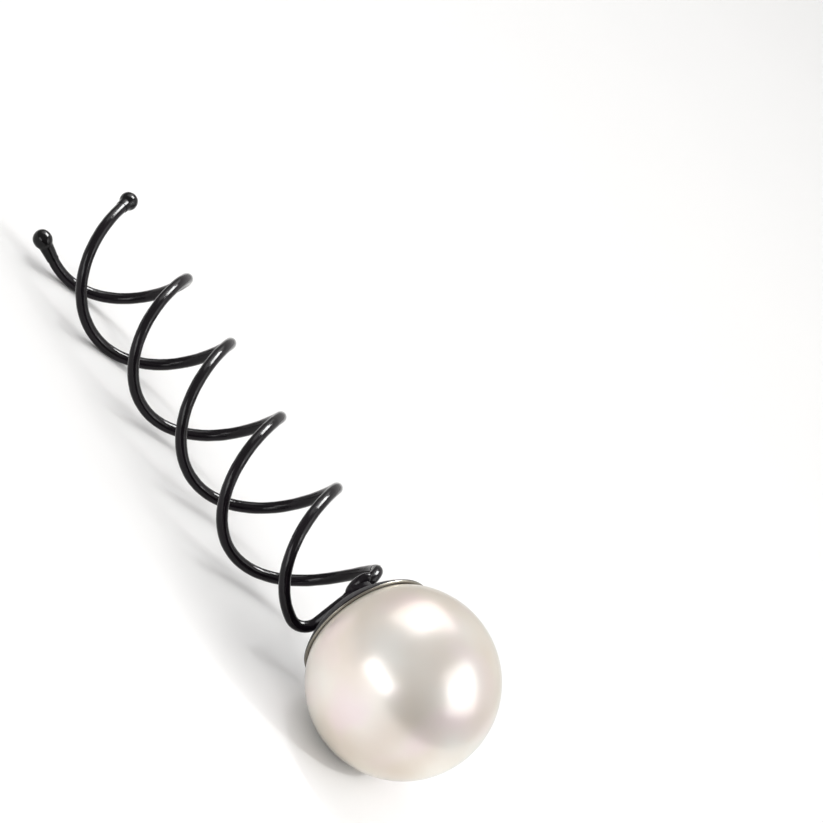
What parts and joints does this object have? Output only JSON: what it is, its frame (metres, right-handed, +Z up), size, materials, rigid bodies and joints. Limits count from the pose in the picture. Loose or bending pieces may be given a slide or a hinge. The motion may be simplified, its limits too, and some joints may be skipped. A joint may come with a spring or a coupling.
{
  "type": "spiral bun pin",
  "caption": "Double-spiral wire hairpin with ball tips and a large round bead in a shallow cup; it twists into a bun of hair and holds it.",
  "frame": {"origin": "centre of the footprint box, on the surface that the pin lies on", "axes": "+X along the pin towards the bead, +Z up"},
  "size_m": [0.0628, 0.016, 0.016],
  "materials": {
    "pearl": "pearl lacquer over a plastic bead, soft gloss with a faint pink and green sheen",
    "enamelled_wire": "glossy near-black enamel on steel wire",
    "ball_coat": "glossy black dipped resin"
  },
  "bodies": {
    "root": {"pearl": "pearl", "spiral_pin": "enamelled_wire", "ball_tip_a": "ball_coat", "ball_tip_b": "ball_coat"}
  },
  "joints": []
}
